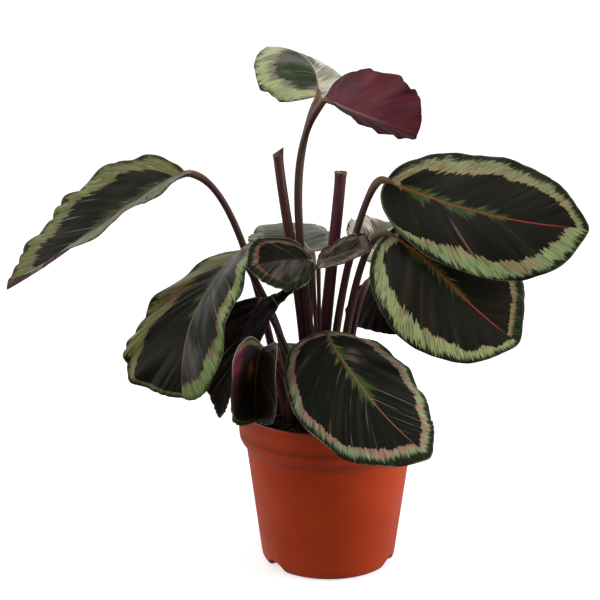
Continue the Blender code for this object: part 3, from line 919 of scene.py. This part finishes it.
def respaced(line):
    """Points along the line at an even spacing, and how far along it they are."""
    lengths = lengths_along(line)
    even = np.linspace(0, lengths[-1], int(lengths[-1] / SPACING))
    return np.stack([np.interp(even, lengths, line[:, axis]) for axis in range(3)], -1), even


def rounded(line):
    """The line with its corners averaged away, its ends kept."""
    for _ in range(ROUNDING):
        line[1:-1] = (line[:-2] + 2 * line[1:-1] + line[2:]) / 4
    return line


# %% Tubes
TUBE_SIDES = 20
TUBE_OVAL = 0.03
TUBE_TWIST = 23.0


def across_line(line):
    """Two directions across the line at each of its points, which don't spin round it."""
    directions = np.gradient(line, axis=0)
    directions /= np.linalg.norm(directions, axis=1)[:, None]
    side = np.cross(directions[0], (0, 1, 0))
    sides = []
    for direction in directions:
        side = side - direction * (side @ direction)
        side /= np.linalg.norm(side)
        sides.append(side)
    return np.array(sides), np.cross(directions, np.array(sides))


def tube(line, radii):
    """A round bar along a line of points in mm, open at its ends, as a bmesh. Each point carries
    its length along the line and its direction round it."""
    sides, others = across_line(line)
    lengths = lengths_along(line)
    bm = bmesh.new()
    bmesh.ops.create_grid(bm, x_segments=len(line) - 1, y_segments=TUBE_SIDES, size=0.5)
    layers = bm.verts.layers.float
    length, turn_x, turn_y = [layers.new(name) for name in ("length", "turn_x", "turn_y")]
    for vert in bm.verts:
        step = round((vert.co.x + 0.5) * (len(line) - 1))
        angle = math.tau * (vert.co.y + 0.5)
        radius = radii[step] * (1 + TUBE_OVAL * math.sin(3 * angle + lengths[step] / TUBE_TWIST))
        around = sides[step] * math.cos(angle) + others[step] * math.sin(angle)
        vert.co = (line[step] + around * radius) * MM
        vert[length] = lengths[step]
        vert[turn_x] = math.cos(angle)
        vert[turn_y] = math.sin(angle)
    bmesh.ops.remove_doubles(bm, verts=bm.verts, dist=0.002 * MM)
    return bm


# %% [markdown]
# The finish of a stalk runs along it: wine-brown with fine lighter streaks, paler at the swollen
# joint, and dusty at the soil. No two stalks are quite the same colour, so each mesh also carries
# a tone of its own, and one material serves them all.

# %% The stalks' finish
def stalk_finish():
    finish = Finish("stalk_skin", Specular_IOR_Level=0.45)
    length, tone = finish.attribute("length"), finish.attribute("tone")
    turn = finish.attribute("turn_x") * 3, finish.attribute("turn_y") * 3
    around = finish.vector(*turn, length * 0.035)
    drawn, fine = finish.noise(around, 1.0, 3.0), finish.noise(around, 3.5, 3.0)
    colour = finish.coated(
        (104, 55, 53),
        ((64, 36, 31), drawn.between(0.35, 0.65)),
        ((130, 82, 72), fine.between(0.5, 0.8) * 0.6),
        ((74, 46, 34), tone.between(0.5, 0.1) * 0.7),
        ((84, 42, 58), tone.between(0.6, 0.9) * 0.45),
        ((128, 98, 72), finish.attribute("joint") * 0.7),
        ((40, 30, 24), length.between(22.0, 11.0) * 0.7),
    )
    normal = finish.bump(fine * 0.6 + drawn * 0.4, 0.0004, 0.6)
    return finish.finished(colour, fine * 0.15 + 0.34, normal)


# %% Stalks with their leaves
SHEATH = 0.28
SHEATH_LENGTH = 16.0
SWELLING = 0.22
SWELL_LENGTH = 9.0
RIB_END = 0.9
TONE_STEPS = (0.37, 0.61)

skin = stalk_finish()


def sheath(lengths, run):
    """How much wider than the cane its sheath is, from the soil up."""
    return 1 + SHEATH * np.exp(-np.clip(lengths - STALK_DEPTH, 0, None) / run)


def close_ends(bm):
    bmesh.ops.holes_fill(bm, edges=[edge for edge in bm.edges if edge.is_boundary], sides=0)
    face_outward(bm)


def mark_joint_and_tone(bm, blade_at, root):
    """Marks how near each point is to the swollen joint, and the stalk's own tone, brown at 0 and
    purple at 1, which follows from where it stands."""
    length = bm.verts.layers.float["length"]
    away = np.array([vert[length] for vert in bm.verts]) - blade_at
    tone = (root[0] * TONE_STEPS[0] + root[1] * TONE_STEPS[1]) % 1
    carry(bm, joint=np.exp(-((away / SWELL_LENGTH) ** 2)), tone=[tone] * len(away))


def make_stalk(leaf):
    top, _, _, up = rib_frames(leaf, np.array([0.0]))
    tip, _, _, tip_up = rib_frames(leaf, np.linspace(0.02, MERGE_SHARE, 12))
    top = top[0] / MM - up[0] * RIB_DEPTH / 2
    stalk = curve_points(leaf.root, leaf.rise, top, leaf.neck)
    blade_at = lengths_along(stalk)[-1]
    run_on = tip / MM - tip_up * RIB_DEPTH * 0.8
    line, lengths = respaced(np.vstack([stalk, run_on]))
    thick = np.interp(lengths, [0, blade_at, lengths[-1]], [*leaf.thick, RIB_END])
    swelling = 1 + SWELLING * np.exp(-(((lengths - blade_at + SWELL_LENGTH) / SWELL_LENGTH) ** 2))
    bm = tube(rounded(line), thick * sheath(lengths, SHEATH_LENGTH) * swelling)
    mark_joint_and_tone(bm, blade_at - SWELL_LENGTH / 2, leaf.root)
    close_ends(bm)
    piece = new_piece(bm, f"cane_{leaf.name}", skin)
    hand_over(piece, "stalk", f"stalk_{leaf.name}")


for leaf in LEAVES:
    make_stalk(leaf)
print("stalks made")

# %% [markdown]
# ## Stalks without leaves
#
# Two stout stalks end in a cut that has dried. The rim of the cut stands up unevenly, one side of
# the left one has torn into a sliver, and the face of the cut is sunken and straw-coloured. The
# face is inset from the end of the tube and pushed down, so the rim is real.

# %% The cut ends
CUT_STALKS = (
    ("left", (-17, 1), (4, 0, 61), (-38, 0, 316), (-3, 0, 37), (3.9, 3.6), 5.0),
    ("right", (-4, 4), (-4, -1, 61), (8, -5, 304), (2, 0, 43), (4.8, 4.2), 0.0),
)
CUT_SHEATH_LENGTH = 20.0
CUT_FLARE = 0.16
CUT_FLARE_LENGTH = 2.5
RAGGED = 0.9
SLIVER_START = 0.7
SUNK = 0.7 * MM


def cut_finish():
    finish = Finish("cut_face", Specular_IOR_Level=0.3)
    grain, rings = finish.noise(finish.place(), 1400, 3.0), finish.noise(finish.place(), 350)
    colour = finish.mix((150, 140, 72), (96, 74, 44), rings.between(0.4, 0.7))
    return finish.finished(colour, grain * 0.2 + 0.6, finish.bump(grain, 0.0003, 0.8))


def tear(bm, middle, radius, sliver):
    """Raises a tube's upper rim unevenly, and its right side into a sliver of so many mm."""
    length = bm.verts.layers.float["length"]
    rim = max(vert[length] for vert in bm.verts)
    for vert in bm.verts:
        if vert[length] > rim - SPACING / 2:
            rough = noise.noise(vert.co / MM * 0.7)
            aside = (vert.co.x / MM - middle) / radius
            share = min(max((aside - SLIVER_START) / (1 - SLIVER_START), 0.0), 1.0)
            vert.co.z += (RAGGED * rough + sliver * share**2) * MM


def make_cut_stalk(cut_face, side, root, rise, top, neck, thick, sliver):
    line, lengths = respaced(curve_points(root, rise, top, neck))
    ends = np.interp(lengths, [0, lengths[-1]], thick)
    flare = 1 + CUT_FLARE * np.exp((lengths - lengths[-1]) / CUT_FLARE_LENGTH)
    bm = tube(rounded(line), ends * sheath(lengths, CUT_SHEATH_LENGTH) * flare)
    mark_joint_and_tone(bm, lengths[-1] + 3 * SWELL_LENGTH, root)
    tear(bm, line[-1][0], thick[1], sliver)
    close_ends(bm)
    top_face = max(bm.faces, key=lambda face: face.calc_center_median().z)
    bmesh.ops.inset_region(bm, faces=[top_face], thickness=SUNK, depth=-SUNK)
    top_face.material_index = 1
    piece = new_piece(bm, f"bare_cane_{side}", skin, cut_face)
    hand_over(piece, "stalk", f"cut_stalk_{side}")


cut_face = cut_finish()
for numbers in CUT_STALKS:
    make_cut_stalk(cut_face, *numbers)
print("bare stalks made")

# %% [markdown]
# ## The pot
#
# The pot is moulded plastic: a thin turned wall with a collar, a rolled lip and a fine crease
# where the collar meets the body. A turned shape is quickest as a profile that is spun round the
# axis. The outside and the hollow are spun apart, the hollow is cut out, and three arched notches
# are cut from the heel, each with a drain slot in its roof. A bevel then softens every edge, as the
# mould does.

# %% The pot's profile in mm
POT_HEIGHT = 122.8
RIM_RADIUS = 70.0
COLLAR_START = (62.4, 89.0)
COLLAR_END = (68.1, 101.5)
COLLAR_STEPS = 16
CREASE_HEIGHT = 95.4
CREASE_DEPTH = 0.22
FOOT_RADIUS = 45.7
HEEL = (51.6, 8.0)
HEEL_STEPS = 7
WALL = 1.3
FLOOR = 2.0
LIP_HEIGHT = 2.0
LIP_OUT = 0.6
TURNS = 144


def collar_radius(height):
    """The outer radius where the body widens into the collar, in a smooth S."""
    (low_r, low_z), (high_r, high_z) = COLLAR_START, COLLAR_END
    share = min(max((height - low_z) / (high_z - low_z), 0), 1)
    return low_r + (high_r - low_r) * share * share * (3 - 2 * share)


def pot_profile(inset, floor, top):
    """The pot's outline from its axis round the base and up to the axis again."""
    turns = np.linspace(0, math.pi / 2 - 0.15, HEEL_STEPS)
    heel = [(FOOT_RADIUS + (HEEL[0] - FOOT_RADIUS) * math.sin(a) - inset,
             max(floor, HEEL[1] * (1 - math.cos(a)))) for a in turns]
    collar = [(collar_radius(z) - inset, z)
              for z in np.linspace(COLLAR_START[1], COLLAR_END[1], COLLAR_STEPS + 1)]
    side = RIM_RADIUS - LIP_OUT - inset
    return [(0, floor), *heel, *collar, (side, top - LIP_HEIGHT), (side, top), (0, top)]


def with_lip_and_crease(profile):
    """The outer outline with a rolled lip at its top and a fine groove round its collar."""
    *body, below_lip, _, _ = profile
    middle = below_lip[1] + LIP_HEIGHT / 2
    lip = [(RIM_RADIUS - LIP_OUT + LIP_OUT * math.cos(a), middle + LIP_HEIGHT / 2 * math.sin(a))
           for a in np.linspace(-math.pi / 2, math.pi / 2, 9)]
    groove = [(collar_radius(CREASE_HEIGHT + dz) - depth, CREASE_HEIGHT + dz)
              for dz, depth in ((-0.5, 0), (0, CREASE_DEPTH), (0.4, 0))]
    below = [point for point in body if point[1] < CREASE_HEIGHT - 0.5]
    above = [point for point in body if point[1] > CREASE_HEIGHT + 0.4]
    return below + groove + above + lip + [(0, POT_HEIGHT)]


def turned(profile, name):
    """A solid of revolution about Z."""
    bm = bmesh.new()
    verts = [bm.verts.new((radius * MM, 0, height * MM)) for radius, height in profile]
    edges = [bm.edges.new(pair) for pair in zip(verts, verts[1:])]
    bmesh.ops.spin(bm, geom=verts + edges, cent=(0, 0, 0), axis=(0, 0, 1), angle=math.tau,
                   steps=TURNS, use_merge=True)
    bmesh.ops.remove_doubles(bm, verts=bm.verts, dist=0.01 * MM)
    face_outward(bm)
    return new_piece(bm, name)


# %% Notches and drain slots
NOTCH_BEARINGS = (216.0, 336.0, 96.0)
NOTCH_SIZE = (11.0, 8.0, 24.0)
NOTCH_SIDES = 40
SLOT_RADIUS = 2.5
SLOT_LENGTH = 8.0
SLOT_INSET = 6.5
SLOT_SIDES = 24


def rod(radius, depth, segments):
    bm = bmesh.new()
    bmesh.ops.create_cone(bm, cap_ends=True, segments=segments, radius1=radius, radius2=radius,
                          depth=depth)
    return bm


def notch(bearing, clearance):
    """A flattened rod along a radius of the pot, wider by clearance all round."""
    half_width, height, depth = NOTCH_SIZE
    bm = rod(1, 2 * depth, NOTCH_SIDES)
    for vert in bm.verts:
        x, y, z = vert.co
        end = clearance if z < 0 else 0
        vert.co = (HEEL[0] + z - end, x * (half_width + clearance), y * (height + clearance))
    bmesh.ops.scale(bm, vec=(MM, MM, MM), verts=bm.verts)
    turn_about_pot(bm, bearing)
    return new_piece(bm, "notch")


def turn_about_pot(bm, bearing):
    cosine, sine = math.cos(math.radians(bearing)), math.sin(math.radians(bearing))
    for vert in bm.verts:
        x, y, z = vert.co
        vert.co = (x * cosine - y * sine, x * sine + y * cosine, z)


def slot(bearing):
    """A short upright rod that opens the roof of a notch."""
    bm = rod(SLOT_RADIUS * MM, SLOT_LENGTH * MM, SLOT_SIDES)
    place = ((HEEL[0] - SLOT_INSET) * MM, 0, NOTCH_SIZE[1] * MM)
    bmesh.ops.translate(bm, vec=place, verts=bm.verts)
    turn_about_pot(bm, bearing)
    return new_piece(bm, "slot")


def carve(piece, cutters):
    """Cuts the cutters out of the piece all at once, and removes them."""
    group = bpy.data.collections.new("cutters")
    bpy.context.scene.collection.children.link(group)
    for cutter in cutters:
        group.objects.link(cutter)
    knife = piece.modifiers.new("cut", "BOOLEAN")
    knife.operation = "DIFFERENCE"
    knife.operand_type = "COLLECTION"
    knife.collection = group
    settle(piece)
    for cutter in cutters:
        bpy.data.objects.remove(cutter)
    bpy.data.collections.remove(group)


# %% [markdown]
# The plastic is satin and slightly uneven: faint upright flow lines, a fine orange-peel, scuffs
# that have gone pale and dirt about the foot. The crease and the inner wall above the soil are
# darkened as painted shade.

# %% The pot's plastic
INNER_RADIUS = RIM_RADIUS - LIP_OUT - WALL


def pot_finish():
    finish = Finish("pot_plastic", Specular_IOR_Level=0.35)
    place = finish.place()
    height = finish.add("SeparateXYZ", {0: place}, out=2) * 1000
    cloud, peel = finish.noise(place, 22, 3.0), finish.noise(place, 1500, 2.0)
    flow = finish.noise(finish.stretched(place, 420, 420, 14))
    scuff = finish.noise(finish.stretched(place, 90, 90, 420), 1.0, 4.0)
    dirt = height.between(9.0, 0.0) * cloud.between(0.3, 0.7)
    # The crease is darkened: painted shade.
    crease_shade = (height - CREASE_HEIGHT).math("ABSOLUTE").between(0.9, 0.1)
    across = finish.stretched(place, 1000, 1000, 0)
    radius = finish.add("VectorMath", {0: across}, out="Value", operation="LENGTH")
    # The inner wall above the soil is darkened: painted shade.
    inside = radius.between(INNER_RADIUS + WALL / 2, INNER_RADIUS)
    inside = inside * height.between(COLLAR_END[1], COLLAR_END[1] + 5.0)
    colour = finish.coated(
        (200, 70, 28),
        ((188, 62, 24), cloud.between(0.35, 0.65)),
        ((204, 104, 66), scuff.between(0.66, 0.78) * 0.3),
        ((110, 48, 28), dirt * 0.5),
        ((140, 50, 22), crease_shade * 0.4),
        ((84, 42, 28), inside * cloud.between(0.1, 0.5) * 0.8),
    )
    normal = finish.bump(peel * 0.25 + flow * 0.5, 0.0002, 0.35)
    return finish.finished(colour, cloud * 0.12 + flow * 0.06 + 0.36, normal)


# %% Pot
EDGE = 0.25 * MM
EDGE_ANGLE = 50
SHARP_ANGLE = 35


def refinish(piece, material):
    """One material on the whole of a carved piece, and smooth shading."""
    piece.data.materials.clear()
    piece.data.materials.append(material)
    piece.data.shade_smooth()


pot = turned(with_lip_and_crease(pot_profile(0, 0, POT_HEIGHT)), "pot_shell")
hollow = turned(pot_profile(WALL, FLOOR, POT_HEIGHT + 1), "hollow")
carve(hollow, [notch(bearing, WALL) for bearing in NOTCH_BEARINGS])
carve(pot, [hollow])
openings = [notch(bearing, 0) for bearing in NOTCH_BEARINGS]
carve(pot, openings + [slot(bearing) for bearing in NOTCH_BEARINGS])
soften = pot.modifiers.new("soften", "BEVEL")
soften.width = EDGE
soften.segments = 2
soften.limit_method = "ANGLE"
soften.angle_limit = math.radians(EDGE_ANGLE)
settle(pot)
refinish(pot, pot_finish())
pot.data.set_sharp_from_angle(angle=math.radians(SHARP_ANGLE))
hand_over(pot, "pot_plastic", "pot")
print("pot has", len(pot.data.polygons), "faces")

# %% [markdown]
# ## Soil
#
# Potting soil is a fill of crumbs, fibres and bits of bark. The fill is one turned body whose top
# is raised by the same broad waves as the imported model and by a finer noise. Crumbs and bark are
# loose bits on top: a few small shapes, repeated with a seeded draw, because a bump alone goes
# flat where the eye looks along the surface.

# %% Soil's finish
def soil_finish(name, dark, pale):
    finish = Finish(name, Specular_IOR_Level=0.2)
    place = finish.place()
    grain = finish.noise(place, 900, 4.0, 0.65)
    clump = finish.noise(place, 160, 3.0)
    colour = finish.mix(dark, pale, grain.between(0.42, 0.8))
    colour = finish.mix(colour, (16, 12, 10), clump.between(0.5, 0.8) * 0.6)
    normal = finish.bump(grain + clump, 0.0008, 0.9)
    return finish.finished(colour, grain * 0.1 + 0.86, normal)


# %% The fill
FIT_GAP = 0.3
SOIL_LUMP = 1.6
SOIL_WAVES = 80
SOIL_EDGE_DROP = 1.5
GRAINS = 260
GRAIN_HEIGHT = 0.9
TOP_RINGS = 46


def lump(x, y):
    """The broad waves of the soil, in mm, for a place in metres."""
    x, y = x * SOIL_WAVES, y * SOIL_WAVES
    broad = math.sin(1.2 * x + 0.6) * math.cos(y + 1.1)
    fine = math.sin(2.6 * x + 2.1 * y) * math.cos(2.9 * y - 0.8 * x)
    return SOIL_LUMP * (0.6 * broad + 0.4 * fine)


def soil_top(x, y, edge):
    """The soil's height in mm at a place in metres."""
    away = min(1.0, math.hypot(x, y) / (edge * MM))
    grain = noise.fractal(Vector((x, y, 0)) * GRAINS, 0.7, 2.2, 4)
    drop = SOIL_EDGE_DROP * away**4
    return SOIL_HEIGHT + lump(x, y) * (1 - away**4) - drop + GRAIN_HEIGHT * grain


gap = WALL + FIT_GAP
low = pot_profile(gap, FLOOR + FIT_GAP, POT_HEIGHT)[:-2]
radii, heights = zip(*low)
soil_edge = float(np.interp(SOIL_HEIGHT - SOIL_EDGE_DROP, heights[1:], radii[1:]))
rings = [(soil_edge * k / TOP_RINGS, SOIL_HEIGHT) for k in range(TOP_RINGS, -1, -1)]
soil = turned([*low[:-1], *rings], "soil_fill")
for vert in soil.data.vertices:
    if abs(vert.co.z - SOIL_HEIGHT * MM) < 0.01 * MM:
        vert.co.z = soil_top(vert.co.x, vert.co.y, soil_edge) * MM
carve(soil, [notch(bearing, gap) for bearing in NOTCH_BEARINGS])
refinish(soil, soil_finish("soil_dark", (40, 31, 25), (70, 54, 42)))
hand_over(soil, "soil", "soil")
print("soil edge radius", round(soil_edge, 1), "mm")

# %% Crumbs and bark
CRUMBS = 1300
BARK = 90
CHAFF = 160
LARGEST_CRUMB = 2.6
FIBRE_BOW = 60
CLEAR_EDGE = 2.5
STAND_OUT = 0.45
SEED = 11


def scatter(name, count, shape, material, draw):
    """Copies of a small shape strewn over the soil, joined in one piece."""
    bm = bmesh.new()
    for _ in range(count):
        away = (soil_edge - CLEAR_EDGE) * math.sqrt(draw.random())
        bearing = draw.uniform(0, math.tau)
        x, y = away * math.cos(bearing) * MM, away * math.sin(bearing) * MM
        bit = shape(draw)
        turn = Vector((draw.uniform(-1, 1), draw.uniform(-1, 1), draw.uniform(-1, 1))).normalized()
        spin = turn.to_track_quat("Z", "Y").to_matrix()
        bmesh.ops.rotate(bit, cent=(0, 0, 0), matrix=spin, verts=bit.verts)
        lowest = min(vert.co.z for vert in bit.verts)
        lift = soil_top(x, y, soil_edge) * MM - lowest * STAND_OUT
        bmesh.ops.translate(bit, vec=(x, y, lift), verts=bit.verts)
        join(bm, bit)
    piece = new_piece(bm, name, material)
    hand_over(piece, "soil")
    print(name, len(piece.data.polygons), "faces")


def join(bm, bit):
    """Adds a small bmesh to a large one."""
    mesh = bpy.data.meshes.new("bit")
    bit.to_mesh(mesh)
    bit.free()
    bm.from_mesh(mesh)
    bpy.data.meshes.remove(mesh)


def crumb(draw):
    bit = bmesh.new()
    size = draw.uniform(0.6, 1.0) ** 3 * LARGEST_CRUMB * MM
    bmesh.ops.create_icosphere(bit, subdivisions=1, radius=size)
    for vert in bit.verts:
        vert.co *= draw.uniform(0.7, 1.2)
    return bit


def flake(draw):
    bit = bmesh.new()
    bmesh.ops.create_cube(bit, size=2 * MM)
    bmesh.ops.subdivide_edges(bit, edges=bit.edges, cuts=1, use_grid_fill=True)
    sizes = (draw.uniform(0.6, 1.3), draw.uniform(1.2, 3.0), draw.uniform(0.3, 0.6))
    bmesh.ops.scale(bit, vec=sizes, verts=bit.verts)
    for vert in bit.verts:
        vert.co *= draw.uniform(0.8, 1.15)
    return bit


def fibre(draw):
    bit = bmesh.new()
    bmesh.ops.create_cone(bit, cap_ends=True, segments=5, radius1=0.22 * MM, radius2=0.14 * MM,
                          depth=draw.uniform(5, 13) * MM)
    upright = [edge for edge in bit.edges if edge.calc_length() > 2 * MM]
    bmesh.ops.subdivide_edges(bit, edges=upright, cuts=3)
    bow = draw.uniform(-FIBRE_BOW, FIBRE_BOW)
    for vert in bit.verts:
        vert.co.x += bow * vert.co.z**2
    return bit


draw = random.Random(SEED)
for name, count, shape, *look in (
    ("soil_crumbs", CRUMBS, crumb, "soil_crumb", (38, 29, 23), (66, 51, 40)),
    ("soil_bark", BARK, flake, "soil_bark", (56, 38, 26), (90, 64, 44)),
    ("soil_chaff", CHAFF, fibre, "soil_chaff", (80, 62, 42), (112, 90, 64)),
):
    scatter(name, count, shape, soil_finish(*look), draw)

# %% [markdown]
# ## Floor and light
#
# The plant stands on a plain white floor that fills the picture. The studio is white behind the
# plant and darker in front of it, below it and straight above, which keeps the leaves' centres
# black and lets their folds shine where they turn towards the back. The floor shines a little by
# its own light, as an overexposed sweep does, so that it stays white without burning out the
# leaves.

# %% Floor
FLOOR_HALF = 9.0
FLOOR_GLOW = 0.6

sweep = bmesh.new()
bmesh.ops.create_grid(sweep, x_segments=1, y_segments=1, size=FLOOR_HALF)
paper = Finish("floor_paper", Roughness=0.9, Base_Color=(0.8, 0.8, 0.8),
               Emission_Color=(1.0, 1.0, 1.0), Emission_Strength=FLOOR_GLOW)
floor = new_piece(sweep, "floor", paper.material)
floor.visible_diffuse = False
floor.visible_glossy = False
print("floor made")

# %% Light
STUDIO_FRONT = 0.3
STUDIO_BACK = 1.1
STUDIO_BELOW = 0.35
STUDIO_ABOVE = 0.45

world = bpy.data.worlds.new("studio")
bpy.context.scene.world = world
world.use_nodes = True
sky = Formula(world.node_tree)
view = sky.add("TexCoord", out="Generated")
back, up = (sky.add("SeparateXYZ", {0: view}, out=axis) for axis in (1, 2))
strength = back.ramp(-0.7, 0.6, STUDIO_FRONT, STUDIO_BACK)
strength = strength * up.ramp(-0.25, 0.1, STUDIO_BELOW, 1.0)
strength = strength * up.ramp(0.5, 0.95, 1.0, STUDIO_ABOVE)
background = sky.nodes["Background"]
sky.feed(background.inputs["Color"], (1.0, 1.0, 1.0))
sky.feed(background.inputs["Strength"], strength)
print("the studio's light has", len(sky.nodes), "nodes")


def softbox(name, place, target, size, watts):
    """A square area light that faces a target."""
    light = bpy.data.lights.new(name, "AREA")
    light.size = size
    light.energy = watts
    lamp = bpy.data.objects.new(name, light)
    lamp.location = place
    lamp.rotation_euler = (Vector(target) - Vector(place)).to_track_quat("-Z", "Y").to_euler()
    bpy.context.scene.collection.objects.link(lamp)


softbox("light_above", (-0.3, -0.2, 1.9), (0, 0, 0.2), 1.4, 9)
softbox("light_right", (1.7, -0.4, 0.7), (0, 0, 0.15), 1.0, 24)
softbox("light_left", (-1.6, -0.6, 0.8), (0, 0, 0.15), 1.0, 9)
bpy.context.scene.view_settings.view_transform = "Standard"
